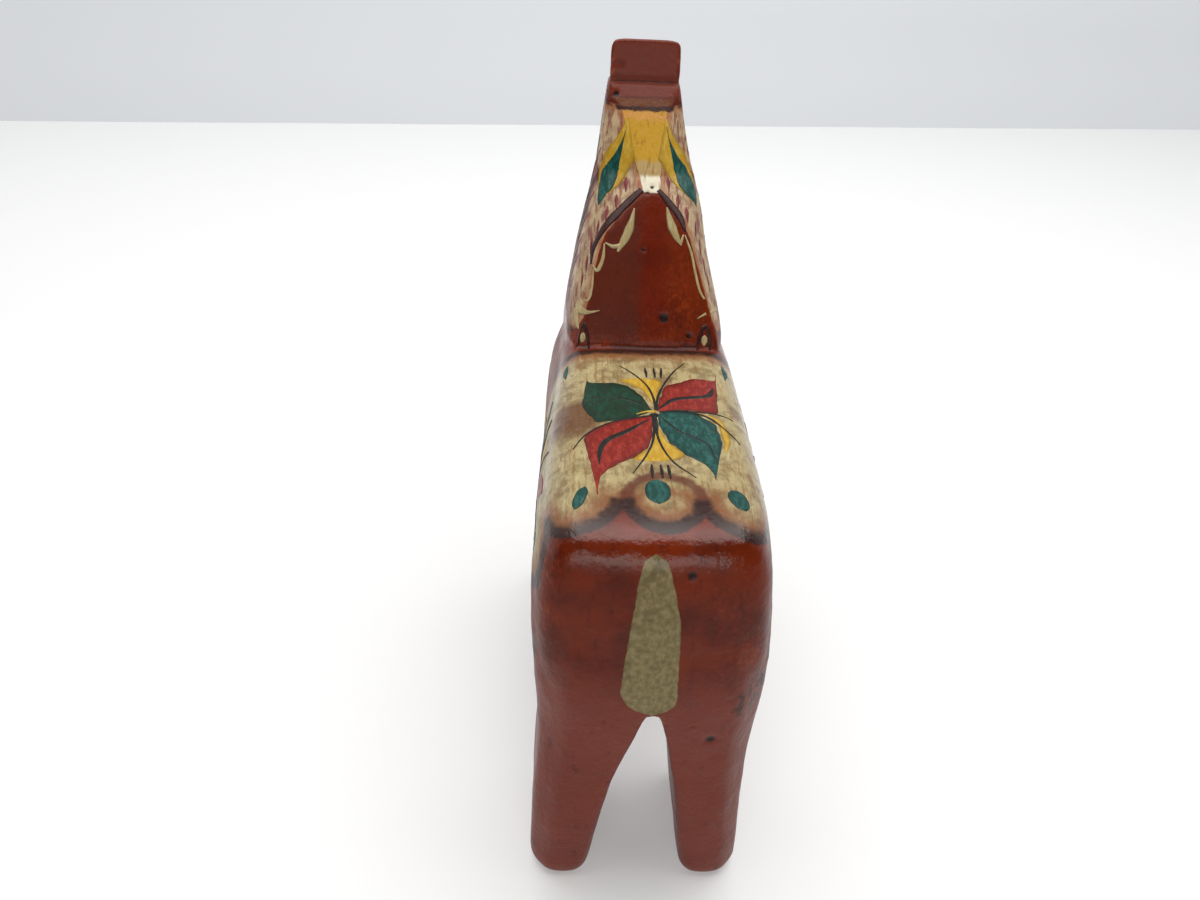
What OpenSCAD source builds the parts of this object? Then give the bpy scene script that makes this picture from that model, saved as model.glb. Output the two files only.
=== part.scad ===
// Dala horse: a glued-up and knife-carved pine horse, standing 250 mm tall.
// Frame: +Z up, the foot soles on Z = 0, X across the horse, the head points to -Y.
// A centre board carries the head, ears, crest and body core. Leg, flank and neck blocks
// are glued to its two faces over hidden birch dowels, and the whole blank is then carved.
// Carved lumps are convex hulls of knife-cut corners, so their facets are flat like the cuts.

/* [Horse] */
// Height from the soles to the ear tips (mm)
horse_h = 250; // [150:1:400]
// Thickness of the centre board (mm)
core_t = 28; // [26:0.5:32]
// Half width of the barrel at its widest (mm)
body_w = 37.5; // [36:0.5:39]
// Half width across the outside of the feet (mm)
foot_w = 37.5; // [35:0.5:40]

/* [Leg gap] */
// Half width of the gap between left and right feet on the floor (mm)
gap_w = 16.5; // [14:0.5:18]
// Height of the top of the gap (mm)
gap_h = 88; // [86:0.5:90]

/* [Dowels] */
// Diameter of the hidden dowels (mm)
dowel_d = 8; // [6:0.5:10]
// Length of the hidden dowels (mm)
dowel_l = 42; // [38:0.5:44]
// Chamfer on the dowel ends (mm)
dowel_c = 0.8; // [0:0.1:1.5]

/* [Hidden] */
s = horse_h / 250;            // every length below is drawn for a 250 mm horse
y_mid = 111;                  // forward distance of the middle of the footprint
core = core_t / 2;
keel_z = 84;                  // underside of the centre board, rebated over the leg blocks
hind_f = 60;                  // joint between the hind block and the flank
fore_f = 96;                  // joint between the flank and the fore block
seam_z = 155.6;               // joint under the neck cheeks, level with the stop cut
bore_d = dowel_d + 0.1;
big = 400;
pine_core = [0.80, 0.62, 0.40];
pine_side = [0.86, 0.69, 0.46];
pine_leg = [0.78, 0.58, 0.36];
pine_neck = [0.88, 0.73, 0.52];
birch = [0.93, 0.86, 0.70];

// Through dowels as [forward, height].
dowel_at = [[24, 128], [18, 102], [78, 118], [122, 122], [140, 104], [148, 182]];

// ---- carved lumps: corners are [forward, height, half width] --------------------------

// Barrel: one ring of corners for each station along the body.
function ring(f, lo, hi, w, c) = [
    [f, lo, w * 0.66], [f, lo + 0.5 * c, w * 0.88], [f, lo + 1.7 * c, w],
    [f, hi - 3.6 * c, w], [f, hi - 1.6 * c, w * 0.95],
    [f, hi - 0.5 * c, w * 0.85], [f, hi, w * 0.68]
];

barrel = concat(
    ring(-9, 110, 132, 21, 5),
    ring(-7.6, 100, 140, 28, 6),
    ring(-4.8, 92.5, 147.5, 32.6, 7),
    ring(-0.5, 87.5, 152.4, 35.4, 8),
    ring(6, 85, 154.7, 36.9, 8.5),
    ring(14, 84, 155.5, body_w, 8.5),
    ring(125, 84, 155.5, body_w, 8.5),
    ring(146, 84, 154, body_w - 0.6, 8),
    ring(157, 87, 148, 33.5, 7),
    ring(163, 92, 140, 28.5, 6),
    ring(166.5, 99, 132, 20, 5)
);

// A leg slice: the plan at height z from f0 to f1 and from x0 out to x1, outer corners cut
// back by c and inner corners by ci.
function slice(z, f0, f1, x0, x1, c, ci = 3) = [
    [f0, z, x0 + ci], [f0, z, x1 - c], [f0 + c, z, x1], [f1 - c, z, x1],
    [f1, z, x1 - c], [f1, z, x0 + ci], [f0 + ci, z, x0], [f1 - ci, z, x0]
];

hind_shank = concat(
    slice(0, -9.8, 31, gap_w + 2, foot_w - 2, 5.5, 3.5),
    slice(2.4, -11, 33, gap_w, foot_w, 6, 3.5),
    slice(76, -6.4, 46, gap_w - 12.5, foot_w - 3, 9, 2)
);
// Above the gap the thighs of both sides are one lump across the horse.
hind_thigh = concat(
    slice(44, -6.4, 34, 0, foot_w - 3.6, 8, 0),
    slice(87, -7.6, 60, 0, foot_w - 0.4, 10, 0),
    slice(112, -8.6, 62, 0, body_w - 0.4, 11, 0),
    slice(136, -3, 50, 0, 35, 14, 0)
);
fore_shank = concat(
    slice(0, 116, 154.6, gap_w + 2, foot_w - 2, 5.5, 3.5),
    slice(2.4, 114, 156, gap_w, foot_w, 6, 3.5),
    slice(76, 106.6, 157, gap_w - 12.5, foot_w - 3, 9, 2)
);
fore_thigh = concat(
    slice(44, 114, 154, 0, foot_w - 3.6, 8, 0),
    slice(87, 95, 162, 0, foot_w - 0.4, 10, 0),
    slice(112, 97, 165, 0, body_w - 0.6, 12, 0),
    slice(136, 106, 160, 0, 34.6, 14, 0)
);

// Neck: pointed crest ridge at the back, roof edge, broad side, chamfered front.
neck_low = [
    [107, 156, 8], [108, 157.8, 7.6], [141, 203.3, 3.4], [147.5, 207.8, 4.2],
    [106, 146, 28], [109, 156.5, 27.4], [116, 168.5, 23.4], [131, 190.5, 16],
    [116, 146, 31], [122, 155.6, 31], [128, 165.5, 29.5], [145, 184, 24.8], [160, 208, 18.6],
    [156, 146, 32], [158, 158, 30.5], [165, 184, 25], [169, 208, 18.8],
    [166, 138, 22], [167.5, 158, 21], [172, 184, 16], [175, 208, 12],
    [122, 120, 29], [159, 118, 29], [166.2, 120, 17]
];
neck_high = [
    [150, 200, 3.4], [147.8, 208, 4.3], [165.5, 228.5, 8.3], [170.6, 230.4, 9.4], [173.6, 236, 13.4],
    [156, 202, 19.4], [160.5, 208, 18.4], [167, 216, 16.9], [172, 225, 15.4], [175.5, 235, 14.2],
    [172, 203, 18.8], [184, 216, 15.6], [190, 235, 13.8],
    [176, 203, 12], [187, 208, 11], [192, 236, 9]
];

// Head: cheeks wide, muzzle narrower and cut off blunt, every edge taken off with the knife.
head = [
    [170, 230, 10], [172, 222, 13], [178, 206, 13], [173, 194, 12.4], [172, 187, 8],
    [188, 241, 7], [192, 236, 12.4], [198, 206, 13], [187, 185, 12.4], [185, 179.5, 7],
    [228, 202.5, 5], [226, 198, 9.4], [216, 174, 9.4], [211, 169.5, 5],
    [231.5, 199, 4.5], [233, 193, 7.4], [228, 177, 7.4], [222.5, 169.5, 4.5],
    [215, 169, 5.5]
];

// Both ears are left in one block.
ears = [
    [172, 226, 12], [174.2, 235.5, 13.9], [176, 243, 13.9], [177, 248.2, 13.7],
    [177.4, 249.6, 12.6], [177.7, 250, 11], [183, 247.6, 10.5], [188, 244.5, 12],
    [191, 240, 12.4], [194, 233, 12], [184, 228, 13]
];

function place(p) = [p[2], y_mid - p[0], p[1]];

module lump(corners) {
    pts = concat([for (p = corners) place(p)], [for (p = corners) place([p[0], p[1], -p[2]])]);
    hull() polyhedron(points = pts, faces = [[for (i = [0 : len(pts) - 1]) i]]);
}

// One leg shape stands on each side, so only the +X half is hulled.
module leg_lump(corners) {
    pts = [for (p = corners) place(p)];
    hull() polyhedron(points = pts, faces = [[for (i = [0 : len(pts) - 1]) i]]);
}

// ---- where each board lies in the glued blank ---------------------------------------

// Box from forward distance f0 to f1, height z0 to z1 and across x0 to x1.
module bin(f0, f1, z0, z1, x0, x1) {
    translate([x0, y_mid - f1, z0]) cube([x1 - x0, f1 - f0, z1 - z0]);
}

// The arched gap between left and right legs runs the whole length of the horse.
module leg_gap() {
    outline = [
        [-gap_w, -1], [gap_w, -1], [gap_w, 0], [gap_w - 2.7, 24], [gap_w - 6.4, 52],
        [gap_w - 10.9, 73], [gap_w - 13.8, gap_h - 3.4], [gap_w - 15.2, gap_h],
        [15.2 - gap_w, gap_h], [13.8 - gap_w, gap_h - 3.4],
        [10.9 - gap_w, 73], [6.4 - gap_w, 52], [2.7 - gap_w, 24], [-gap_w, 0]
    ];
    rotate([90, 0, 0]) linear_extrude(height = big, center = true) polygon(outline);
}

module bores() {
    for (p = dowel_at)
        translate([-dowel_l / 2, y_mid - p[0], p[1]])
            rotate([0, 90, 0]) cylinder(d = bore_d, h = dowel_l, $fn = 48);
}

// ---- the pieces -----------------------------------------------------------------------

module core_board() {
    color(pine_core)
    difference() {
        intersection() {
            union() {
                lump(barrel);
                lump(hind_thigh);
                lump(fore_thigh);
                lump(neck_low);
                lump(neck_high);
                lump(head);
                lump(ears);
            }
            bin(-60, 280, keel_z, 300, -core, core);
        }
        leg_gap();
        bores();
    }
}

module hind_block() {
    color(pine_leg)
    difference() {
        union() {
            intersection() {
                union() {
                    leg_lump(hind_shank);
                    leg_lump(hind_thigh);
                }
                bin(-60, 84, -1, keel_z, 0, 60);
            }
            intersection() {
                union() {
                    leg_lump(hind_thigh);
                    lump(barrel);
                }
                bin(-60, hind_f, keel_z - 0.5, 300, core, 60);
            }
        }
        leg_gap();
        bores();
    }
}

module fore_block() {
    color(pine_leg)
    difference() {
        union() {
            intersection() {
                union() {
                    leg_lump(fore_shank);
                    leg_lump(fore_thigh);
                }
                bin(84, 280, -1, keel_z, 0, 60);
            }
            intersection() {
                union() {
                    leg_lump(fore_thigh);
                    lump(barrel);
                    lump(neck_low);
                }
                bin(fore_f, 280, keel_z - 0.5, seam_z, core, 60);
            }
        }
        leg_gap();
        bores();
    }
}

module flank() {
    color(pine_side)
    difference() {
        intersection() {
            union() {
                lump(barrel);
                lump(hind_thigh);
                lump(fore_thigh);
            }
            bin(hind_f, fore_f, keel_z, 300, core, 60);
        }
        bores();
    }
}

module neck_cheek() {
    color(pine_neck)
    difference() {
        intersection() {
            union() {
                lump(neck_low);
                lump(neck_high);
            }
            bin(-60, 280, seam_z, 300, core, 60);
        }
        bores();
    }
}

module other_side() {
    mirror([1, 0, 0]) children();
}

module dowels() {
    color(birch)
    for (p = dowel_at)
        translate([0, y_mid - p[0], p[1]]) rotate([0, 90, 0]) {
            cylinder(d = dowel_d, h = dowel_l - 2 * dowel_c, center = true, $fn = 48);
            for (e = [0, 1])
                mirror([0, 0, e])
                    translate([0, 0, dowel_l / 2 - dowel_c])
                        cylinder(d1 = dowel_d, d2 = dowel_d - 2 * dowel_c, h = dowel_c, $fn = 48);
        }
}

scale(s) {
    core_board();
    hind_block();  // hind_block_left
    other_side() hind_block();  // hind_block_right
    fore_block();  // fore_block_left
    other_side() fore_block();  // fore_block_right
    flank();  // flank_left
    other_side() flank();  // flank_right
    neck_cheek();  // neck_cheek_left
    other_side() neck_cheek();  // neck_cheek_right
    dowels();
}
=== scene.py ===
"""Looks of the dala horse: a carved, painted and varnished pine horse on a pale table.

Lengths are in millimetres until the meshes are made. Points are (x, f, z): x across the
horse, f forward from the rump, z up. The frame's Y axis is Y_MID - f.
"""
import itertools
import math
import bmesh
import bpy
import numpy as np
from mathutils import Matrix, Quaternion, Vector
from mathutils.bvhtree import BVHTree

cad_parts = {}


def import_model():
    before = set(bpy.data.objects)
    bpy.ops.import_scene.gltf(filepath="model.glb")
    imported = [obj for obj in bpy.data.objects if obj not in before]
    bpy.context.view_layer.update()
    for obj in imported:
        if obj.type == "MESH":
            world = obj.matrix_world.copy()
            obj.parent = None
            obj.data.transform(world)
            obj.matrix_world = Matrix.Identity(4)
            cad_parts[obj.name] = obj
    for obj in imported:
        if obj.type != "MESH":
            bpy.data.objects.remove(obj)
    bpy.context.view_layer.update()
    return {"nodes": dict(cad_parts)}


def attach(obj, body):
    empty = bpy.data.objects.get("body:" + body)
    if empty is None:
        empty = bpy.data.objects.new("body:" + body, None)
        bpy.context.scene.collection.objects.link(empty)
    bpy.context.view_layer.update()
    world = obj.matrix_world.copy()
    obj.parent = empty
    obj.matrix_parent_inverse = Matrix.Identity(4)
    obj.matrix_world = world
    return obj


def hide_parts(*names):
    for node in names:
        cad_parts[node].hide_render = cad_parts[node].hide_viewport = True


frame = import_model()

Y_MID = 111.0
CORE = 14.0            # half thickness of the centre board
KEEL = 84.0            # underside of the centre board
BELLY = 84.6           # underside of the barrel
HIND_F, FORE_F = 60.0, 96.0                # joints behind and in front of the flanks
SEAM_Z = 155.6         # level of the stop cut across the withers
BODY_W, FOOT_W = 37.5, 37.5                # half widths
GAP_W, GAP_H = 16.5, 88.0                  # gap between the legs: half width, height
STEP = CORE / 17       # size of a surface cell
CUBE = tuple(itertools.product((0, 1), repeat=3))      # corners of a cell


def smooth(a, b, v):
    """0 below a, 1 above b, and an even curve between them."""
    t = np.clip((np.asarray(v, float) - a) / (b - a), 0, 1)
    return t * t * (3 - 2 * t)


# ---- the carved shape ------------------------------------------------------------------
# Corners of each lump are (forward, height, half width). They are those of the CAD source,
# but for the belly, which is 0.6 mm higher.

def ring(f, lo, hi, w, c):
    """A slice of the barrel from lo to hi; c is the size of its worn corners."""
    return [(f, lo, w * 0.66), (f, lo + 0.5 * c, w * 0.88), (f, lo + 1.7 * c, w),
            (f, hi - 3.6 * c, w), (f, hi - 1.6 * c, w * 0.95),
            (f, hi - 0.5 * c, w * 0.85), (f, hi, w * 0.68)]


def leg_slice(z, f0, f1, x0, x1, c, ci=3):
    """A slice of a leg; c and ci are the sizes of its outer and inner corners."""
    return [(f0, z, x0 + ci), (f0, z, x1 - c), (f0 + c, z, x1), (f1 - c, z, x1),
            (f1, z, x1 - c), (f1, z, x0 + ci), (f0 + ci, z, x0), (f1 - ci, z, x0)]


BARREL = (ring(-9, 110, 132, 21, 5)
          + ring(-7.6, 100, 140, 28, 6)
          + ring(-4.8, 92.5, 147.5, 32.6, 7)
          + ring(-0.5, 87.5, 152.4, 35.4, 8)
          + ring(6, 85, 154.7, 36.9, 8.5)
          + ring(14, BELLY, 155.5, BODY_W, 8.5)
          + ring(125, BELLY, 155.5, BODY_W, 8.5)
          + ring(146, BELLY, 154, BODY_W - 0.6, 8)
          + ring(157, 87, 148, 33.5, 7)
          + ring(163, 92, 140, 28.5, 6)
          + ring(166.5, 99, 132, 20, 5))
HIND_SHANK = (leg_slice(0, -9.8, 31, GAP_W + 2, FOOT_W - 2, 5.5, 3.5)
              + leg_slice(2.4, -11, 33, GAP_W, FOOT_W, 6, 3.5)
              + leg_slice(76, -6.4, 46, GAP_W - 12.5, FOOT_W - 3, 9, 2))
HIND_THIGH = (leg_slice(44, -6.4, 34, 0, FOOT_W - 3.6, 8, 0)
              + leg_slice(87, -7.6, 60, 0, FOOT_W - 0.4, 10, 0)
              + leg_slice(112, -8.6, 62, 0, BODY_W - 0.4, 11, 0)
              + leg_slice(136, -3, 50, 0, 35, 14, 0))
FORE_SHANK = (leg_slice(0, 116, 154.6, GAP_W + 2, FOOT_W - 2, 5.5, 3.5)
              + leg_slice(2.4, 114, 156, GAP_W, FOOT_W, 6, 3.5)
              + leg_slice(76, 106.6, 157, GAP_W - 12.5, FOOT_W - 3, 9, 2))
FORE_THIGH = (leg_slice(44, 114, 154, 0, FOOT_W - 3.6, 8, 0)
              + leg_slice(87, 95, 162, 0, FOOT_W - 0.4, 10, 0)
              + leg_slice(112, 97, 165, 0, BODY_W - 0.6, 12, 0)
              + leg_slice(136, 106, 160, 0, 34.6, 14, 0))
NECK_LOW = [(107, 156, 8), (108, 157.8, 7.6), (141, 203.3, 3.4), (147.5, 207.8, 4.2),
            (106, 146, 28), (109, 156.5, 27.4), (116, 168.5, 23.4), (131, 190.5, 16),
            (116, 146, 31), (122, 155.6, 31), (128, 165.5, 29.5), (145, 184, 24.8),
            (160, 208, 18.6),
            (156, 146, 32), (158, 158, 30.5), (165, 184, 25), (169, 208, 18.8),
            (166, 138, 22), (167.5, 158, 21), (172, 184, 16), (175, 208, 12),
            (122, 120, 29), (159, 118, 29), (166.2, 120, 17)]
NECK_HIGH = [(150, 200, 3.4), (147.8, 208, 4.3), (165.5, 228.5, 8.3), (170.6, 230.4, 9.4),
             (173.6, 236, 13.4),
             (156, 202, 19.4), (160.5, 208, 18.4), (167, 216, 16.9),
             (172, 225, 15.4), (175.5, 235, 14.2),
             (172, 203, 18.8), (184, 216, 15.6), (190, 235, 13.8),
             (176, 203, 12), (187, 208, 11), (192, 236, 9)]
HEAD = [(170, 230, 10), (172, 222, 13), (178, 206, 13), (173, 194, 12.4), (172, 187, 8),
        (188, 241, 7), (192, 236, 12.4), (198, 206, 13), (187, 185, 12.4), (185, 179.5, 7),
        (228, 202.5, 5), (226, 198, 9.4), (216, 174, 9.4), (211, 169.5, 5),
        (231.5, 199, 4.5), (233, 193, 7.4), (228, 177, 7.4), (222.5, 169.5, 4.5),
        (215, 169, 5.5)]
EARS = [(172, 226, 12), (174.2, 235.5, 13.9), (176, 243, 13.9), (177, 248.2, 13.7),
        (177.4, 249.6, 12.6), (177.7, 250, 11), (183, 247.6, 10.5), (188, 244.5, 12),
        (191, 240, 12.4), (194, 233, 12), (184, 228, 13)]


def hull_planes(corners, both_sides=True):
    """Outward unit normals and offsets of the convex hull, in (x, f, z)."""
    bm = bmesh.new()
    for f, z, w in corners:
        bm.verts.new((w, f, z))
        if both_sides and w > 0:
            bm.verts.new((-w, f, z))
    bmesh.ops.convex_hull(bm, input=list(bm.verts))
    bm.normal_update()
    centre = sum((v.co for v in bm.verts), Vector()) / len(bm.verts)
    found = {}
    for face in bm.faces:
        n = face.normal.normalized()
        d = n.dot(face.calc_center_median())
        if n.dot(centre) > d:
            n, d = -n, -d
        if face.calc_area() > 0.05:
            found[tuple(round(c, 2) for c in n)] = (*n, d)
    bm.free()
    planes = np.array([found[k] for k in sorted(found)], np.float32)
    return planes[:, :3], planes[:, 3]


# Each lump: its corners, whether they stand for both sides of the horse in one hull, the radius
# scale of its rubbed edges, and how far its sides and its ends are set out to make up for the
# rubbing, in mm.
LUMPS = [(hull_planes(corners, both_sides), corners, worn, sides, ends)
         for corners, both_sides, worn, sides, ends in (
             (BARREL, True, 1.1, 0.65, 0), (HIND_THIGH, True, 1.3, 0.85, 0),
             (FORE_THIGH, True, 1.3, 0.85, 0), (HIND_SHANK, False, 1.0, 0.6, 0),
             (FORE_SHANK, False, 1.0, 0.6, 0), (NECK_LOW, True, 0.4, 0, 0),
             (NECK_HIGH, True, 0.35, 0, 0), (HEAD, True, 0.7, 0.2, 0.2),
             (EARS, True, 0.4, 0.2, 0.8))]
BLEND = 0.35           # radius scale of the hollows where two lumps meet
CROTCH = 0.9           # radius scale of the edges of the gap between the legs
FAR = 9                # beyond this many mm a lump is left out of the sum


def gap_half(z):
    """Half width of the gap between the legs at height z."""
    return np.interp(z, [-5, 0, 24, 52, 73, GAP_H - 3.4, GAP_H, GAP_H + 20],
                     [GAP_W, GAP_W, GAP_W - 2.7, GAP_W - 6.4, GAP_W - 10.9, GAP_W - 13.8,
                      GAP_W - 15.2, -60]).astype(np.float32)


def lean(f, z):
    """How far the hand-cut shape stands off the middle plane: rump, hocks, withers, nape."""
    rump = np.exp(-((f + 5) / 34) ** 2 - ((z - 138) / 26) ** 2)
    hocks = np.exp(-((f + 5) / 34) ** 2 - ((z - 80) / 26) ** 2)
    withers = np.exp(-((f - 120) / 48) ** 2 - ((z - 152) / 32) ** 2)
    nape = np.exp(-((f - 150) / 24) ** 2 - ((z - 200) / 20) ** 2)
    crest = np.exp(-((f - 143) ** 2 + (z - 204) ** 2) / 14 ** 2)
    return 1.3 * rump - 1.1 * hocks - 2.2 * withers - 1.3 * nape - 1.3 * crest


def ridge_drift(x, f, z):
    """The middle facet behind the neck wanders to one side towards the withers."""
    low = np.exp(-(((f - 108) / 20) ** 2 + ((z - 157) / 28) ** 2)) * (z > 154.5)
    return -5.5 * low * np.clip(1 - (x / 27) ** 2, 0, 1)


def field(x, f, z):
    """Signed distance to the horse in mm, negative inside it. One array for each coordinate."""
    f = np.asarray(f, np.float32)
    z = np.asarray(z, np.float32)
    ax = np.abs(x - lean(f, z) - ridge_drift(x, f, z)).astype(np.float32)
    total = np.zeros(ax.shape, np.float32)
    for (n, d), corners, worn, sides, ends in LUMPS:
        c = np.array(corners)
        near = ((f > c[:, 0].min() - FAR) & (f < c[:, 0].max() + FAR)
                & (z > c[:, 1].min() - FAR) & (z < c[:, 1].max() + FAR))
        if not near.any():
            continue
        p = (ax[near], f[near], z[near])
        level = np.abs(n[:, 2])
        swell = sides * (1 - level) + ends * level
        dist = [n[i, 0] * p[0] + n[i, 1] * p[1] + n[i, 2] * p[2] - d[i] - swell[i]
                for i in range(len(d))]
        top = dist[0].copy()
        for v in dist[1:]:
            np.maximum(top, v, out=top)
        soft = np.zeros_like(top)
        for v in dist:
            soft += np.exp(np.maximum((v - top) / worn, -30))
        lump = top + worn * np.log(soft)
        total[near] += np.exp(np.clip(-lump / BLEND, -40, 40))
    body = -BLEND * np.log(total + 1e-12)
    legs = (gap_half(z) - ax) * 0.97
    both = np.maximum(body, legs)
    return both + CROTCH * np.log1p(np.exp(-np.abs(body - legs) / CROTCH))


def grid_lines(lo, hi, through, step):
    """Corner lines of cells whose centres pass through the given value."""
    first = through - step * (math.ceil((through - lo) / step) + 0.5)
    return first + step * np.arange(int((hi - first) / step) + 2)


GX = STEP * (np.arange(-51, 51) + 0.5)
GF = grid_lines(-15, 237, HIND_F, (FORE_F - HIND_F) / 44)
GZ = grid_lines(-3, 254, KEEL, (SEAM_Z - KEEL) / 88)


def sample_grid():
    """The field at every grid corner."""
    block = np.full((len(GX), len(GF), len(GZ)), 9.0, np.float32)
    f, z = np.meshgrid(GF, GZ, indexing="ij")
    for i, x in enumerate(GX):
        block[i] = field(np.full(f.size, x), f.ravel(), z.ravel()).reshape(f.shape)
    return block


NAMES = {1: "core_board", 2: "hind_block_left", 3: "hind_block_right", 4: "fore_block_left",
         5: "fore_block_right", 6: "flank_left", 7: "flank_right", 8: "neck_cheek_left",
         9: "neck_cheek_right"}


def label_grid(values):
    """Which board each inside corner belongs to; 0 is air."""
    x, f, z = np.meshgrid(GX, GF, GZ, indexing="ij", sparse=True)
    right = (x < 0).astype(np.uint8)
    side = np.where(z > SEAM_Z, 8, np.where(f < HIND_F, 2, np.where(f < FORE_F, 6, 4)))
    low = np.where(f < (HIND_F + FORE_F) / 2, 2, 4)
    lab = np.where(z < KEEL, low, np.where(np.abs(x) < CORE, 1, side))
    lab = lab + np.where(lab == 1, 0, right)
    lab[values >= 0] = 0
    return lab.astype(np.uint8)


def crossings(corner):
    """Mean point, in cell units, where the surface cuts the edges of each cell."""
    total = np.zeros((len(corner[0, 0, 0]), 3))
    count = np.zeros(len(total))
    for axis in range(3):
        for u, v in itertools.product((0, 1), repeat=2):
            p, q = [u, v], [u, v]
            p.insert(axis, 0)
            q.insert(axis, 1)
            start, end = corner[tuple(p)], corner[tuple(q)]
            cross = (start < 0) != (end < 0)
            at = np.tile(np.array(p, float), (len(total), 1))
            at[:, axis] = np.where(cross, start / np.where(cross, start - end, 1), 0)
            total += at * cross[:, None]
            count += cross
    outer = count > 0
    return np.where(outer[:, None], total / np.maximum(count, 1)[:, None], 0.5), outer


def on_joint(labels, axis):
    """True for the cells whose two sides along this axis lie in different boards."""
    near, far = (np.maximum.reduce([v for key, v in labels.items() if key[axis] == end])
                 for end in (0, 1))
    return (near != far) & (near > 0) & (far > 0)


def net_faces(lab, vid):
    """Quads between unlike labels: their vertices, the two labels and the axis they face."""
    quads, pairs, axes = [], [], []
    for axis in range(3):
        first, second = [slice(None)] * 3, [slice(None)] * 3
        first[axis], second[axis] = slice(0, -1), slice(1, None)
        la, lb = lab[tuple(first)], lab[tuple(second)]
        e = np.argwhere(la != lb)
        u, v = [(1, 2), (2, 0), (0, 1)][axis]
        corners = []
        for du, dv in ((-1, -1), (0, -1), (0, 0), (-1, 0)):
            c = e.copy()
            c[:, u] += du
            c[:, v] += dv
            corners.append(vid[tuple(c.T)])
        quads.append(np.stack(corners, axis=1))
        pairs.append(np.stack([la[tuple(e.T)], lb[tuple(e.T)]], axis=1).astype(int))
        axes.append(np.full(len(e), axis))
    return [np.concatenate(part) for part in (quads, pairs, axes)]


def nets(values, lab):
    """One closed surface for each label, sharing the vertices where they meet."""
    shape = [n - 1 for n in values.shape]
    parts = [lab[a:a + shape[0], b:b + shape[1], c:c + shape[2]] for a, b, c in CUBE]
    mixed = np.minimum.reduce(parts) != np.maximum.reduce(parts)
    cells = np.argwhere(mixed)
    vid = np.full(shape, -1, np.int32)
    vid[mixed] = np.arange(len(cells))
    i, j, k = cells.T
    corner = {(a, b, c): values[i + a, j + b, k + c] for a, b, c in CUBE}
    labels = {(a, b, c): lab[i + a, j + b, k + c] for a, b, c in CUBE}
    pos, outer = crossings(corner)
    points = np.zeros((len(cells), 3))
    pinned = np.zeros((len(cells), 3), bool)
    for axis, line in enumerate((GX, GF, GZ)):
        points[:, axis] = line[cells[:, axis]] + pos[:, axis] * (line[1] - line[0])
        cut = on_joint(labels, axis)
        mid = (line[:-1] + line[1:]) / 2
        points[cut, axis] = mid[cells[cut, axis]]
        pinned[:, axis] = cut
    return points, outer, pinned, *net_faces(lab, vid)


values = sample_grid()
lab = label_grid(values)
points, outer, pinned, quads, pairs, axes = nets(values, lab)


def settle(points, outer, pinned, rounds=3):
    """Moves the outer vertices onto the true surface, along the joint planes where pinned."""
    at = np.where(outer)[0]
    p = points[at]
    free = ~pinned[at]
    for _ in range(rounds):
        d = field(*p.T).astype(float)
        e = 0.05
        grad = np.stack([(field(*(p + step).T) - field(*(p - step).T)) / (2 * e)
                         for step in np.eye(3) * e], axis=1).astype(float) * free
        size = np.maximum((grad ** 2).sum(1), 0.15)
        p = p - np.clip(d / size, -0.7, 0.7)[:, None] * grad
    points[at] = p
    return points


points = settle(points, outer, pinned)
is_skin = (pairs == 0).any(axis=1)


def skin_quads():
    """Outer faces with outward winding, and the label of the board each belongs to."""
    q, pr = quads[is_skin], pairs[is_skin]
    flip = pr[:, 0] > 0        # f runs against Y, so the winding is turned over
    q = np.where(flip[:, None], q[:, ::-1], q)
    return q, pr.max(axis=1)


def world(p):
    """(x, f, z) in mm to the row frame in metres."""
    p = np.asarray(p, float)
    return np.stack([p[:, 0], Y_MID - p[:, 1], p[:, 2]], axis=1) / 1000


def vertex_normals(p, q):
    """Area-weighted normals in (x, f, z) of the outer quads."""
    w = world(p)
    a, b = w[q[:, 2]] - w[q[:, 0]], w[q[:, 3]] - w[q[:, 1]]
    n = np.cross(a, b)
    out = np.zeros_like(w)
    for c in range(4):
        np.add.at(out, q[:, c], n)
    out /= np.maximum(np.linalg.norm(out, axis=1), 1e-12)[:, None]
    return out * np.array([1, -1, 1])


skin, skin_label = skin_quads()
normals = vertex_normals(points, skin)
print("surface:", len(points), "vertices,", len(skin), "outer faces")


# ---- tool marks, dents and wear --------------------------------------------------------

def hashed(i, j, k, seed):
    """A repeatable number from 0 to 1 for each lattice point."""
    h = (i.astype(np.int64) * 73856093) ^ (j.astype(np.int64) * 19349663) \
        ^ (k.astype(np.int64) * 83492791) ^ (seed * 2654435761)
    h = (h ^ (h >> 13)) * 1274126177
    return ((h ^ (h >> 16)) & 0xFFFFFF) / float(0xFFFFFF)


def noise(p, scale, seed):
    """Smooth noise from -1 to 1. scale is the size of a patch in mm, one value or three."""
    q = p / np.asarray(scale, float)
    base = np.floor(q).astype(np.int64)
    t = q - base
    t = t * t * (3 - 2 * t)
    out = np.zeros(len(p))
    for a, b, c in CUBE:
        w = np.abs(1 - a - t[:, 0]) * np.abs(1 - b - t[:, 1]) * np.abs(1 - c - t[:, 2])
        out += w * hashed(base[:, 0] + a, base[:, 1] + b, base[:, 2] + c, seed)
    return out * 2 - 1


def cuts(p, size, seed):
    """Knife cuts: shallow hollows that meet in ridges, 0 in the middle of a cut."""
    q = p / np.asarray(size, float)
    base = np.floor(q).astype(np.int64)
    best = np.full(len(p), 9.0)
    for step in itertools.product((-1, 0, 1), repeat=3):
        cell = i, j, k = (base + step).T
        centre = np.stack([cell[n] + hashed(i, j, k, seed + n) for n in range(3)], axis=1)
        best = np.minimum(best, ((q - centre) ** 2).sum(1))
    return np.minimum(best, 1.2)


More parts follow.
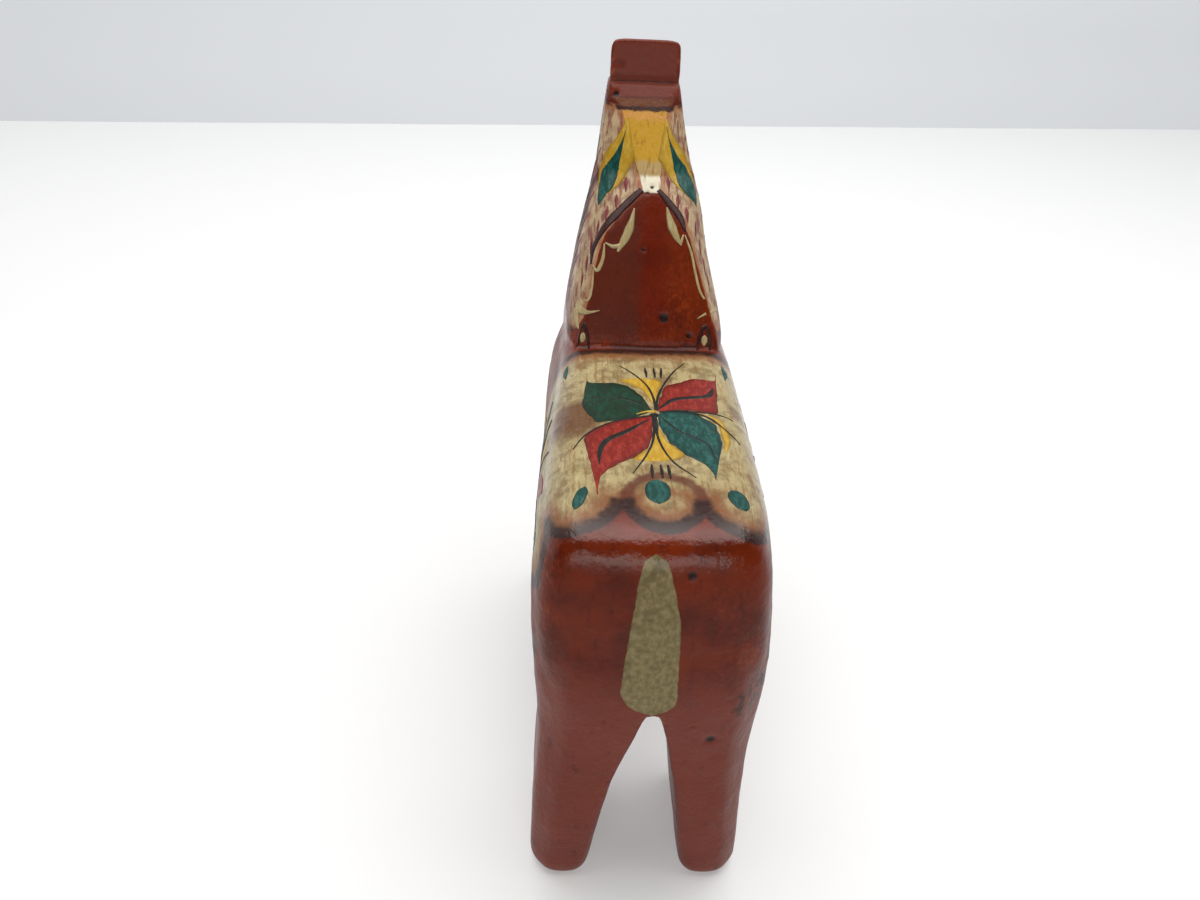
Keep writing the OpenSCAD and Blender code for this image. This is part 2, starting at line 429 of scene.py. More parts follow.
def groove(p, a, b, width):
    """1 on the line from a to b, fading to 0 over width."""
    a, b = np.array(a, float), np.array(b, float)
    t = np.clip((p - a) @ (b - a) / ((b - a) @ (b - a)), 0, 1)
    gone = np.linalg.norm(p - a - t[:, None] * (b - a), axis=1)
    return np.exp(-(gone / width) ** 2)


# Each groove: its two ends, its width and its depth.
GROOVES = [((28, 106.3, 155.4), (-28, 106.3, 155.4), 1.3, 0.55),      # stop cut at the withers
           ((14, 174.3, 236.2), (-14, 174.3, 236.2), 1.3, 0.6),       # foot of the ears
           ((14, 176.3, 241.7), (8.6, 176.2, 242), 0.9, 0.8),         # splits in the ears
           ((13.6, 177.6, 249.4), (13.2, 186, 247), 1.2, 0.3),
           ((-3, 174, 240), (-3.4, 176.4, 249), 1.0, 0.25)]
# Each knock: its middle and its radius.
DENTS = [((0, 128.1, 185.6), 0.9), ((-8.2, 113.3, 164.6), 1.9), ((-17.9, 110, 159), 1.1),
         ((-7.5, -6, 144.5), 1.7), ((-20.2, -8.5, 76.3), 2.0), ((11.1, 170.3, 232), 1.3),
         ((30, 40, 74), 1.6), ((-36, 61, 118), 1.4), ((35, 132, 104), 1.6),
         ((-12, 233, 186), 1.5),
         ((-3, 143.5, 204.6), 0.9), ((-1.2, 141.6, 203), 0.8), ((-24, -9, 96), 1.0)]

DENT_DEPTH = 0.7


def dents(p):
    """1 in the middle of a knock in the wood, 0 away from all of them."""
    out = np.zeros(len(p))
    for at, size in DENTS:
        near = (np.abs(p - np.array(at, float)) < 3 * size).all(axis=1)
        gone = ((p[near] - np.array(at, float)) ** 2).sum(axis=1)
        out[near] = np.maximum(out[near], np.exp(-gone / size ** 2))
    return out


def tool_marks(p, n):
    """How far each skin vertex moves along its normal, in mm."""
    out = 0.30 * noise(p, 34, 3) + 0.12 * noise(p, 13, 5) + 0.04 * noise(p, 4, 6)
    upright = 1 - smooth(84, 112, p[:, 2]) * (1 - smooth(150, 165, p[:, 2]))
    on_top = smooth(0.8, 0.95, n[:, 2]) * smooth(145, 152, p[:, 2])
    strong = (1 - 0.75 * on_top) * (1 - 0.55 * smooth(156, 160, p[:, 2]))
    tall = cuts(p, (7, 8, 15), 11)
    long = cuts(p, (8, 14, 8), 21)
    out += strong * (0.30 * (upright * tall + (1 - upright) * long) - 0.10)
    for a, b, width, depth in GROOVES:
        out -= depth * groove(p, a, b, width)
    return out - DENT_DEPTH * dents(p)


def carve(points):
    """Moves the skin by the tool marks, but not off a joint plane."""
    at = np.where(outer)[0]
    p, n = points[at], normals[at]
    shift = n * tool_marks(p, n)[:, None]
    shift[pinned[at]] = 0
    low = smooth(0.2, 2.5, p[:, 2])       # the soles stay flat
    points[at] = p + shift * low[:, None]
    return points


points = carve(points)
normals = vertex_normals(points, skin)


# ---- painted areas: millimetres from the border, positive inside ---------------------------

REACH = 12.0           # a painted border's distance is kept this far from it


def kept(distance):
    return np.clip(distance, -REACH, REACH)


def circles(a, b, rings):
    """Distance into the nearest of the rings, each (centre, centre, radius)."""
    return np.max([r - np.hypot(a - ca, b - cb) for ca, cb, r in rings], axis=0)


MEDALLION = (-0.8, 14.6, 11.2)      # round lobe in the middle of the rear border
REAR_LOBES = [MEDALLION, (25, 16.5, 13.4), (-24, 16, 13.4),
              (49.5, 16, 13.5), (-48.5, 16, 13.5)]
LOW_LOBES = [(14 + 19 * n, 107, 11) for n in range(5)]


def saddle_cloth(p):
    """Cream cloth over the back, scalloped behind and below and cut straight at the withers."""
    x, f, z = p.T
    wrap = np.sign(x) * (np.abs(x) + np.maximum(0, 152 - z))
    cloth = np.minimum(f - 12, z - 106)
    cloth = np.maximum(cloth, np.where(z > 116, circles(wrap, f, REAR_LOBES), -9))
    cloth = np.maximum(cloth, np.where(z < 122, circles(f, z, LOW_LOBES), -9))
    return kept(np.minimum(cloth, 104.4 - f))


# Corner between the back of the neck and its side: height, half width, forward.
CORNER = np.array([(156, 27.6, 109), (168.5, 23.4, 116), (190.5, 16, 131), (203.3, 3.4, 141),
                   (207.8, 4.3, 147.5), (228.5, 8.3, 166), (230.4, 9.4, 170), (236, 13.4, 173.6)])


def past_corner(p):
    """How far a point lies round the corner of the neck: below 0 at the back, above at the side."""
    x, f, z = p.T
    half = np.interp(z, CORNER[:, 0], CORNER[:, 1])
    fore = np.interp(z, CORNER[:, 0], CORNER[:, 2])
    return 0.7 * (np.abs(x - lean(f, z)) - half + f - fore)


def neck_cloth(p):
    """Cream field along both sides of the crest, with a scalloped front border."""
    x, f, z = p.T
    s = past_corner(p)
    front = np.maximum(17 - s, circles(s, z, [(15.5, 168 + 15 * n, 8.5) for n in range(4)]))
    foot = np.maximum(z - 163, circles(s, z, [(8, 164, 7)]))
    return kept(np.minimum(np.minimum(s - 0.6, front), np.minimum(foot, 229 - z)))


def crest_strip(p):
    """Pale strip along the crest, up to the ears."""
    z = p[:, 2]
    return kept(np.minimum(-past_corner(p), np.minimum(z - 203.6, 230.5 - z)))


# Outline of the tail: height, half width.
TAIL = np.array([(85, -6), (89.5, 0.3), (91, 4.4), (94, 7.4), (99, 8.6), (113, 8), (128, 7),
                 (138, 5.6), (145, 4.2), (148, 3.2), (149.5, 0.4), (153, -5)])


def tail_patch(p):
    """Painted tail down the back of the rump and thighs."""
    x, f, z = p.T
    half = np.interp(z, TAIL[:, 0], TAIL[:, 1])
    mid = np.interp(z, [88, 101, 128, 150], [-0.6, 1.4, 1.3, 2.8])
    return kept(np.where(f < 6, half - np.abs(x - mid), -REACH))


def neighbour_mean(values, count):
    """Mean of the values at each vertex's neighbours along the edges of the skin."""
    total = np.zeros_like(values)
    for a, b in ((0, 1), (1, 2), (2, 3), (3, 0)):
        np.add.at(total, skin[:, a], values[skin[:, b]])
    return (total.T / np.maximum(count, 1)).T


def bend(points):
    """How sharply the skin bends at each vertex: above 0 on edges, below 0 in hollows."""
    count = np.bincount(skin.ravel(), minlength=len(points))
    gap = neighbour_mean(points, count) - points
    out = -(gap * normals).sum(axis=1) * (count > 0)
    for _ in range(3):
        out = 0.5 * out + 0.5 * neighbour_mean(out, count)
    return out


MASKS = {"saddle": saddle_cloth(points), "side": past_corner(points), "neck": neck_cloth(points),
         "strip": crest_strip(points), "tail": tail_patch(points), "dent": dents(points),
         "ring": kept(circles(points[:, 0], points[:, 1], [MEDALLION])),
         "bend": bend(points)}


# ---- the boards as meshes --------------------------------------------------------------

def caps(a, b):
    """Flat glue faces between two boards, as loops of vertices wound outward from board a."""
    out = []
    for axis in range(3):
        m = (axes == axis) & (((pairs[:, 0] == a) & (pairs[:, 1] == b))
                              | ((pairs[:, 0] == b) & (pairs[:, 1] == a)))
        if not m.any():
            continue
        q = quads[m]
        q = np.where((pairs[m][:, 0] == a)[:, None], q[:, ::-1], q)
        start, end = q.ravel(), q[:, [1, 2, 3, 0]].ravel()
        size = int(quads.max()) + 1
        rim = ~np.isin(start * size + end, end * size + start)
        follow = {}
        for u, v in zip(start[rim].tolist(), end[rim].tolist()):
            follow.setdefault(u, []).append(v)
        while follow:
            u = first = next(iter(follow))
            loop = []
            while u in follow:
                loop.append(u)
                nxt = follow[u].pop()
                if not follow[u]:
                    del follow[u]
                u = nxt
            if len(loop) > 2 and u == first:
                out.append(loop)
    return out


def board(label, name):
    """One board of the blank as a closed mesh with the horse's own smooth skin."""
    faces = [q.tolist() for q in skin[skin_label == label]]
    skins = len(faces)
    for other in NAMES:
        if other != label:
            faces += caps(label, other)
    flat = [v for face in faces for v in face]
    used, index = np.unique(np.array(flat), return_inverse=True)
    mesh = bpy.data.meshes.new(name)
    mesh.vertices.add(len(used))
    mesh.vertices.foreach_set("co", world(points[used]).astype(np.float32).ravel())
    mesh.loops.add(len(flat))
    mesh.loops.foreach_set("vertex_index", index.astype(np.int32))
    mesh.polygons.add(len(faces))
    sizes = np.array([len(face) for face in faces], np.int32)
    starts = np.concatenate([[0], np.cumsum(sizes)[:-1]])
    mesh.polygons.foreach_set("loop_start", starts.astype(np.int32))
    mesh.update(calc_edges=True)
    mesh.validate(clean_customdata=False)
    own = normals[used] * np.array([1, -1, 1])
    loop_normals = own[index]
    for poly in mesh.polygons[skins:]:
        for li in poly.loop_indices:
            loop_normals[li] = poly.normal
    mesh.polygons.foreach_set("use_smooth", np.ones(len(faces), bool))
    mesh.normals_split_custom_set(loop_normals.tolist())
    obj = bpy.data.objects.new("wood_" + name, mesh)
    bpy.context.scene.collection.objects.link(obj)
    return obj, used


def paint_masks(obj, used):
    """Keeps the distances to the painted borders on the board's vertices."""
    for name, mask in MASKS.items():
        layer = obj.data.attributes.new(name, "FLOAT", "POINT")
        layer.data.foreach_set("value", mask[used].astype(np.float32))


# ---- paint and varnish ---------------------------------------------------------------------

def srgb(r, g, b):
    """A paint colour from its 0 to 255 values."""
    def one(c):
        c /= 255
        return c / 12.92 if c <= 0.04045 else ((c + 0.055) / 1.055) ** 2.4
    return (one(r), one(g), one(b), 1)


COAT, COAT_ROUGH, SHEEN = 0.14, 0.11, 0.1              # varnish
COLOUR_A, COLOUR_B, COLOUR_OUT = 6, 7, 2               # colour sockets of a mix node


class Paint:
    """A varnished paint material and short names for the nodes that it is built from."""

    def __init__(self, name):
        self.mat = bpy.data.materials.new(name)
        self.mat.use_nodes = True
        self.tree = self.mat.node_tree
        self.shader = self.tree.nodes["Principled BSDF"]
        self.put(self.shader.inputs["Coat Weight"], COAT)
        self.put(self.shader.inputs["Coat Roughness"], COAT_ROUGH)
        self.put(self.shader.inputs["Specular IOR Level"], SHEEN)
        scale = self.node("ShaderNodeVectorMath", operation="SCALE")
        self.put(scale.inputs[0], self.node("ShaderNodeTexCoord").outputs["Object"])
        self.put(scale.inputs["Scale"], 1000)
        self.mm = scale.outputs[0]
        split = self.node("ShaderNodeSeparateXYZ")
        self.put(split.inputs[0], self.mm)
        self.x, self.y, self.z = split.outputs

    def node(self, kind, **settings):
        made = self.tree.nodes.new(kind)
        for key, value in settings.items():
            setattr(made, key, value)
        return made

    def put(self, socket, value):
        """Sets a socket to a number or a colour, or links another node's output to it."""
        if isinstance(value, (int, float, tuple)):
            socket.default_value = value
        else:
            self.tree.links.new(value, socket)

    def math(self, op, a, b=0.0):
        n = self.node("ShaderNodeMath", operation=op)
        self.put(n.inputs[0], a)
        self.put(n.inputs[1], b)
        return n.outputs[0]

    def over(self, value, lo, hi):
        """0 where value is below lo, 1 above hi; the other way round when lo is the larger."""
        n = self.node("ShaderNodeMapRange", interpolation_type="SMOOTHSTEP")
        flip = lo > hi
        self.put(n.inputs["Value"], value)
        self.put(n.inputs["From Min"], min(lo, hi))
        self.put(n.inputs["From Max"], max(lo, hi))
        self.put(n.inputs["To Min"], float(flip))
        self.put(n.inputs["To Max"], float(not flip))
        return n.outputs["Result"]

    def noise(self, size, detail=3.0, rough=0.55):
        """Noise near 0.5; size is the patch size in mm, one value or one for each axis."""
        m = self.node("ShaderNodeVectorMath", operation="DIVIDE")
        self.put(m.inputs[0], self.mm)
        self.put(m.inputs[1], size if isinstance(size, tuple) else (size, size, size))
        n = self.node("ShaderNodeTexNoise")
        self.put(n.inputs["Vector"], m.outputs[0])
        self.put(n.inputs["Scale"], 1)
        self.put(n.inputs["Detail"], detail)
        self.put(n.inputs["Roughness"], rough)
        return n.outputs["Fac"]

    def shifted(self, value, amount, size):
        """A distance made uneven by up to about amount mm."""
        stray = self.math("SUBTRACT", self.noise(size), 0.5)
        return self.math("ADD", value, self.math("MULTIPLY", stray, 3 * amount))

    def distance(self, x, f, z):
        """Millimetres from the point (x, f, z)."""
        n = self.node("ShaderNodeVectorMath", operation="DISTANCE")
        self.put(n.inputs[0], self.mm)
        self.put(n.inputs[1], (x, Y_MID - f, z))
        return n.outputs["Value"]

    def mix(self, a, b, t):
        """Colour a where t is 0, colour b where it is 1."""
        n = self.node("ShaderNodeMix", data_type="RGBA")
        self.put(n.inputs["Factor"], t)
        self.put(n.inputs[COLOUR_A], a)
        self.put(n.inputs[COLOUR_B], b)
        return n.outputs[COLOUR_OUT]

    def mask(self, name):
        return self.node("ShaderNodeAttribute", attribute_name=name).outputs["Fac"]

    def both(self, *parts):
        """The product of all the parts."""
        out = parts[0]
        for part in parts[1:]:
            out = self.math("MULTIPLY", out, part)
        return out

    def tint(self, colour, rgb, *parts):
        """Lays the 0 to 255 colour rgb over colour, as far as the product of the parts."""
        return self.mix(colour, srgb(*rgb), self.both(*parts))

    def finish(self, colour, rough, height, depth=0.1):
        """Connects colour, gloss and a bump of depth mm."""
        self.put(self.shader.inputs["Base Color"], colour)
        self.put(self.shader.inputs["Roughness"], rough)
        bump = self.node("ShaderNodeBump")
        self.put(bump.inputs["Strength"], 1)
        self.put(bump.inputs["Distance"], depth / 1000)
        self.put(bump.inputs["Height"], height)
        self.put(self.shader.inputs["Normal"], bump.outputs[0])
        self.put(self.shader.inputs["Coat Normal"], bump.outputs[0])
        return self.mat


def red_ground(m, streak_y, streak_z):
    """Red, more orange where the varnish is thick on the rump; paler and browner low on the legs
    and on the ears as painted reflection, and painted reflection and shade on the facets behind the
    neck.
    """
    colour = m.mix(srgb(108, 34, 4), srgb(80, 23, 4), m.over(m.noise(17, 4, 0.6), 0.35, 0.68))
    colour = m.tint(colour, (134, 50, 14), m.over(m.noise(45, 2), 0.45, 0.62),
                    m.over(streak_y, 0.46, 0.7), 0.7)
    colour = m.tint(colour, (70, 20, 13), m.over(streak_z, 0.54, 0.74), 0.7)
    # painted reflection of the pale table: a paler, browner red low on the legs
    colour = m.tint(colour, (116, 52, 38), m.over(m.z, 116, 84), 0.75)
    # painted reflection: a browner red on the ears
    colour = m.tint(colour, (110, 46, 32), m.over(m.z, 229, 232), 0.8)
    # painted light and shade behind the neck: a greyer brown reflection on the +x facet, and a
    # deeper red as painted shade on a strip on the -x side of the ridge
    withers = m.both(m.over(m.z, 156.5, 160), m.over(m.z, 207, 202),
                     m.over(m.mask("side"), 0.5, -1))
    middle = m.shifted(m.x, 2, (4, 4, 20))
    colour = m.tint(colour, (78, 34, 25), withers, m.over(middle, -2, 3.5), 0.7)
    return m.tint(colour, (92, 20, 4), withers, m.over(middle, 3.5, -2), m.over(m.x, -12, -6), 0.6)


def worn_legs(m, colour):
    """Scuffs and bare spots low on the legs, and chips near the right hock."""
    colour = m.tint(colour, (56, 20, 16), m.over(m.noise((5, 5, 9), 6, 0.75), 0.57, 0.66),
                    m.over(m.z, 140, 30), 0.65)
    colour = m.tint(colour, (150, 84, 58), m.over(m.noise((3, 3, 5), 6, 0.8), 0.68, 0.72),
                    m.over(m.z, 120, 20), 0.6)
    return m.tint(colour, (46, 20, 12), m.over(m.shifted(m.distance(-33, -3, 93), 3, 8), 10, 6),
                  m.over(m.noise((2.4, 2.4, 4), 5, 0.8), 0.47, 0.55), 0.85)


def cloth_paint(m, colour, streak_y):
    """Cream saddle cloth, mottled and stained, with a dark border and medallion ring."""
    saddle = m.shifted(m.mask("saddle"), 0.35, 2.5)
    cream = m.mix(srgb(166, 150, 108), srgb(130, 112, 76), m.over(m.noise(6, 5, 0.65), 0.42, 0.62))
    cream = m.tint(cream, (128, 90, 50), m.over(streak_y, 0.50, 0.66), 0.7)
    cream = m.tint(cream, (190, 172, 132), m.over(m.noise((1.6, 5, 2), 3), 0.56, 0.7), 0.6)
    cream = m.tint(cream, (96, 62, 42), m.over(m.noise(13, 5, 0.7), 0.54, 0.70), 0.6)
    cream = m.tint(cream, (92, 54, 28), m.over(m.shifted(m.distance(26, 58, 154.5), 3, 8), 16, 7),
                   m.over(m.x, 14, 20), 0.88)
    feather = m.shifted(m.mask("saddle"), 2.4, (2.2, 5, 2.2))
    cream = m.tint(cream, (122, 70, 38), m.over(feather, 10.5, 3.2), 0.85)
    ring = m.shifted(m.mask("ring"), 0.7, 3)
    cream = m.tint(cream, (88, 40, 26), m.over(ring, -2.6, -0.6), m.over(ring, 3.4, 1), 0.85)
    colour = m.mix(colour, cream, m.over(saddle, -0.2, 0.25))
    return m.tint(colour, (38, 15, 11), m.over(saddle, -1.9, -0.9),
                  m.over(m.shifted(m.mask("saddle"), 1.4, 3), 4.4, 1.4), 0.94)


def neck_paint(m, colour):
    """Tan with thin dark red hair strokes along the neck."""
    neck = m.shifted(m.mask("neck"), 0.4, 2.5)
    tan = m.mix(srgb(182, 158, 124), srgb(148, 118, 92), m.over(m.noise(5, 4, 0.6), 0.4, 0.62))
    tan = m.tint(tan, (112, 44, 44), m.over(m.noise((1.1, 8, 7), 3, 0.6), 0.50, 0.61), 0.7)
    tan = m.tint(tan, (150, 84, 42), m.over(m.shifted(m.mask("neck"), 1, 3), 3.5, 1), 0.6)
    colour = m.mix(colour, tan, m.over(neck, -0.2, 0.3))
    return m.tint(colour, (52, 24, 22), m.over(neck, -1.2, -0.5), m.over(neck, 1.3, 0.5),
                  m.over(m.mask("side"), 3, 6), 0.85)


def crest_paint(m, colour, fine):
    """Painted highlight on the knife facet at the foot of the crest, beige, mustard yellow, a worn
    pale end and a dark band at the ears.
    """
    high = m.shifted(m.z, 0.8, 3)
    beside = m.over(m.mask("side"), 4, 2)
    # the near-white at the foot of the crest is a painted highlight on the glossy facet; beige
    # above it
    crest = m.mix(srgb(214, 205, 182), srgb(176, 148, 98), m.over(high, 206.6, 208.6))
    crest = m.tint(crest, (184, 140, 40), m.over(high, 210.8, 213))
    crest = m.tint(crest, (196, 138, 76), m.over(high, 223.6, 225.6), m.over(fine, 0.35, 0.6))
    crest = m.tint(crest, (120, 82, 40), m.over(m.noise((1, 7, 6), 4), 0.56, 0.68), 0.6)
    colour = m.mix(colour, crest, m.over(m.mask("strip"), -0.8, -0.35))
    colour = m.tint(colour, (84, 32, 22), m.over(m.z, 227, 228.2), m.over(m.z, 232.4, 231.2),
                    beside, 0.9)
    return m.tint(colour, (48, 22, 18), m.over(high, 226.8, 227.6), m.over(high, 229.2, 228.4),
                  beside, 0.95)


def tail_paint(m, colour):
    """Cream-olive hair, stippled with a dry brush."""
    dabs = m.noise((1.5, 1.5, 2.2), 2)
    hairs = m.mix(srgb(106, 93, 58), srgb(136, 122, 84), m.over(dabs, 0.27, 0.73))
    hairs = m.tint(hairs, (88, 74, 48), m.over(m.noise(6, 5), 0.54, 0.7), 0.6)
    return m.mix(colour, hairs, m.over(m.shifted(m.mask("tail"), 0.35, 3), -0.15, 0.3))


def age(m, colour):
    """Knocks, rubbed edges, and a darker colour in the hollows."""
    colour = m.tint(colour, (188, 108, 66), m.over(m.mask("bend"), 0.03, 0.10),
                    m.over(m.noise(6, 5, 0.7), 0.5, 0.66), 0.35)
    # darker in the hollows
    colour = m.tint(colour, (40, 20, 17), m.over(m.mask("bend"), -0.02, -0.09), 0.7)
    colour = m.tint(colour, (34, 18, 15), m.over(m.mask("dent"), 0.25, 0.6))
    return m.tint(colour, (60, 32, 24), m.over(m.noise(0.9, 2), 0.70, 0.76), 0.5)


def horse_paint():
    m = Paint("horse_paint")
    fine = m.noise(1.1, 4)
    streak_z = m.noise((2.2, 2.2, 16), 4, 0.6)          # brush drawn up and down the legs
    streak_y = m.noise((1.3, 11, 1.6), 4, 0.65)         # and along the back
    colour = worn_legs(m, red_ground(m, streak_y, streak_z))
    colour = neck_paint(m, cloth_paint(m, colour, streak_y))
    colour = age(m, tail_paint(m, crest_paint(m, colour, fine)))
    rough = m.math("ADD", 0.26, m.math("MULTIPLY", m.noise(9, 4, 0.6), 0.26))
    height = m.math("ADD", m.math("MULTIPLY", streak_z, 0.5), m.math("MULTIPLY", streak_y, 0.5))
    for part, weight in ((m.noise(3.2, 3), 0.7), (fine, 0.25)):
        height = m.math("ADD", height, m.math("MULTIPLY", part, weight))
    # the top edge of the rump is glossier
    polish = m.both(m.over(m.z, 143, 149), m.over(m.z, 154.6, 152.5))
    m.put(m.shader.inputs["Coat Weight"], m.math("ADD", 0.1, m.math("MULTIPLY", polish, 0.5)))
    return m.finish(colour, rough, height, 0.3)


def brush_paint(name, thick, thin, worn=0.3):
    """Paint of one colour laid on with a brush: streaks, a darker rim and rubbed spots."""
    m = Paint(name)
    across = m.mask("across")
    streak = m.noise((1.4, 3.5, 3.5), 4, 0.65)
    colour = m.mix(thick, thin, m.over(streak, 0.42, 0.66))
    dark = tuple(0.45 * c for c in thick[:3]) + (1,)
    colour = m.mix(colour, dark, m.both(m.over(m.math("ABSOLUTE", across), 0.62, 1), 0.6))
    colour = m.tint(colour, (168, 134, 88), m.over(m.noise(2.4, 6, 0.75), 0.63, 0.68), worn)
    rough = m.math("ADD", 0.30, m.math("MULTIPLY", m.noise(6, 3), 0.2))
    return m.finish(colour, rough, m.math("ADD", streak, m.noise(1.2, 3)), 0.08)


# ---- brush strokes ---------------------------------------------------------------------------
# A stroke is a thin film of paint that follows the carved skin. Its points are (x, f, z).

SKIN = BVHTree.FromPolygons([tuple(v) for v in world(points)], [tuple(q) for q in skin.tolist()])
LIFT_MID, LIFT_EDGE, SINK = 0.09, 0.045, 0.15      # film heights above and below the skin
PATH_STEP = 0.8                                    # between the points of a stroke


def spline(keys):
    """A smooth path through the keys, and how far along it each of its points is, 0 to 1."""
    k = np.array([keys[0], *keys, keys[-1]], float)
    out = []
    for a, b, c, d in zip(k[:-3], k[1:-2], k[2:-1], k[3:]):
        n = max(2, int(np.linalg.norm(c - b) / PATH_STEP))
        t = (np.arange(n) / n)[:, None]
        out.append(0.5 * (2 * b + (c - a) * t + (2 * a - 5 * b + 4 * c - d) * t ** 2
                          + (3 * b - a - 3 * c + d) * t ** 3))
    path = np.vstack(out + [k[-1:]])
    run = np.concatenate([[0], np.cumsum(np.linalg.norm(np.diff(path, axis=0), axis=1))])
    return path, run / run[-1]


class Film:
    """All the strokes of one colour, as closed thin shells in one mesh."""

    def __init__(self, name, paint):
        self.name, self.paint = name, paint
        self.verts, self.faces, self.across = [], [], []

    def shell(self, rows, lift):
        """Closed film over rows of skin points, each row running across the stroke."""
        base, ring_size = len(self.verts), 2 * len(rows[0])
        across = np.linspace(-1, 1, len(rows[0]))
        for row in rows:
            top, low = [], []
            for a, p in zip(across, row):
                foot, n, _, _ = SKIN.find_nearest(p)
                rise = (LIFT_EDGE + (LIFT_MID - LIFT_EDGE) * (1 - a * a)) * lift
                top.append(foot + n * (rise / 1000))
                low.append(foot - n * (SINK / 1000))
            self.across += list(across) + list(across[::-1])
            self.verts += top + low[::-1]
        for i in range(len(rows) - 1):
            for c in range(ring_size):
                d = (c + 1) % ring_size
                a = base + i * ring_size
                self.faces.append((a + c, a + d, a + ring_size + d, a + ring_size + c))
        last = base + (len(rows) - 1) * ring_size
        self.faces.append(tuple(base + c for c in reversed(range(ring_size))))
        self.faces.append(tuple(last + c for c in range(ring_size)))

    def stroke(self, keys, widths, lift=1.0):
        """widths are full widths in mm, spread evenly from the first key to the last."""
        path, t = spline(keys)
        half = np.interp(t, np.linspace(0, 1, len(widths)), widths) / 2
        half = np.maximum(half * (1 + 0.09 * noise(path, 2.6, 31)), 0.12)
        pts = world(path)
        cols = max(3, int(math.ceil(max(widths))) + 1)
        rows = []
        for i in range(len(pts)):
            middle, normal, _, _ = SKIN.find_nearest(Vector(pts[i]))
            along = Vector(pts[min(i + 1, len(pts) - 1)] - pts[max(i - 1, 0)])
            side = normal.cross(along).normalized()
            rows.append([middle + side * (a * half[i] / 1000) for a in np.linspace(-1, 1, cols)])
        self.shell(rows, lift)

    def leaf(self, edge_a, edge_b, lift=1.0):
        """Fills between two edges that run from the same root to the same tip."""
        a, ta = spline(edge_a)
        b, tb = spline(edge_b)
        t = np.linspace(0, 1, max(len(a), len(b)))
        a = np.stack([np.interp(t, ta, a[:, n]) for n in range(3)], axis=1)
        b = np.stack([np.interp(t, tb, b[:, n]) for n in range(3)], axis=1)
        swell = (0.10 * noise(a, 2.4, 41))[:, None] * (a - b) * 0.4
        a, b = a + swell, b - swell
        gap = np.linalg.norm(a - b, axis=1)
        thin = gap < 0.25
        a[thin] += (0.12, 0, 0)
        b[thin] -= (0.12, 0, 0)
        cols = max(3, int(math.ceil(gap.max())) + 1)
        rows = [[Vector(p) for p in world(pa + (pb - pa) * np.linspace(0, 1, cols)[:, None])]
                for pa, pb in zip(a, b)]
        self.shell(rows, lift)

    def disc(self, centre, along, length, width):
        """An oval dab: along is its long direction in (x, f, z)."""
        c, d = np.array(centre, float), np.array(along, float)
        d = d / np.linalg.norm(d) * length / 2
        round_off = [width * math.sqrt(max(0, 1 - (k / 5 - 1) ** 2)) for k in range(11)]
        self.stroke([c - d, c - d / 3, c + d / 3, c + d], round_off)

    def build(self):
        mesh = bpy.data.meshes.new(self.name)
        mesh.from_pydata([tuple(v) for v in self.verts], [], self.faces)
        layer = mesh.attributes.new("across", "FLOAT", "POINT")
        layer.data.foreach_set("value", np.array(self.across, np.float32))
        bm = bmesh.new()
        bm.from_mesh(mesh)
        bmesh.ops.recalc_face_normals(bm, faces=bm.faces)
        bm.to_mesh(mesh)
        bm.free()
        mesh.polygons.foreach_set("use_smooth", np.ones(len(mesh.polygons), bool))
        mesh.materials.append(self.paint)
        obj = bpy.data.objects.new(self.name, mesh)
        bpy.context.scene.collection.objects.link(obj)
        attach(obj, "root")
        return obj


teal = Film("paint_teal", brush_paint("teal", srgb(16, 60, 54), srgb(40, 90, 82)))
green = Film("paint_green", brush_paint("green", srgb(24, 46, 30), srgb(20, 64, 48)))
red = Film("paint_red", brush_paint("red", srgb(118, 26, 18), srgb(146, 48, 36)))
mauve = Film("paint_mauve", brush_paint("mauve", srgb(104, 34, 40), srgb(134, 60, 58)))
yellow = Film("paint_yellow", brush_paint("yellow", srgb(176, 136, 36), srgb(190, 156, 66)))
white = Film("paint_cream", brush_paint("cream", srgb(158, 140, 98), srgb(180, 162, 122)))
dark = Film("paint_dark", brush_paint("dark", srgb(46, 22, 22), srgb(66, 32, 28), 0.12))
black = Film("paint_black", brush_paint("black", srgb(24, 24, 24), srgb(40, 38, 34), 0.1))
TOP = 155.4            # flat of the back


def back(*pairs):
    """Points on the flat of the back from (x, f)."""
    return [(x, f, TOP) for x, f in pairs]


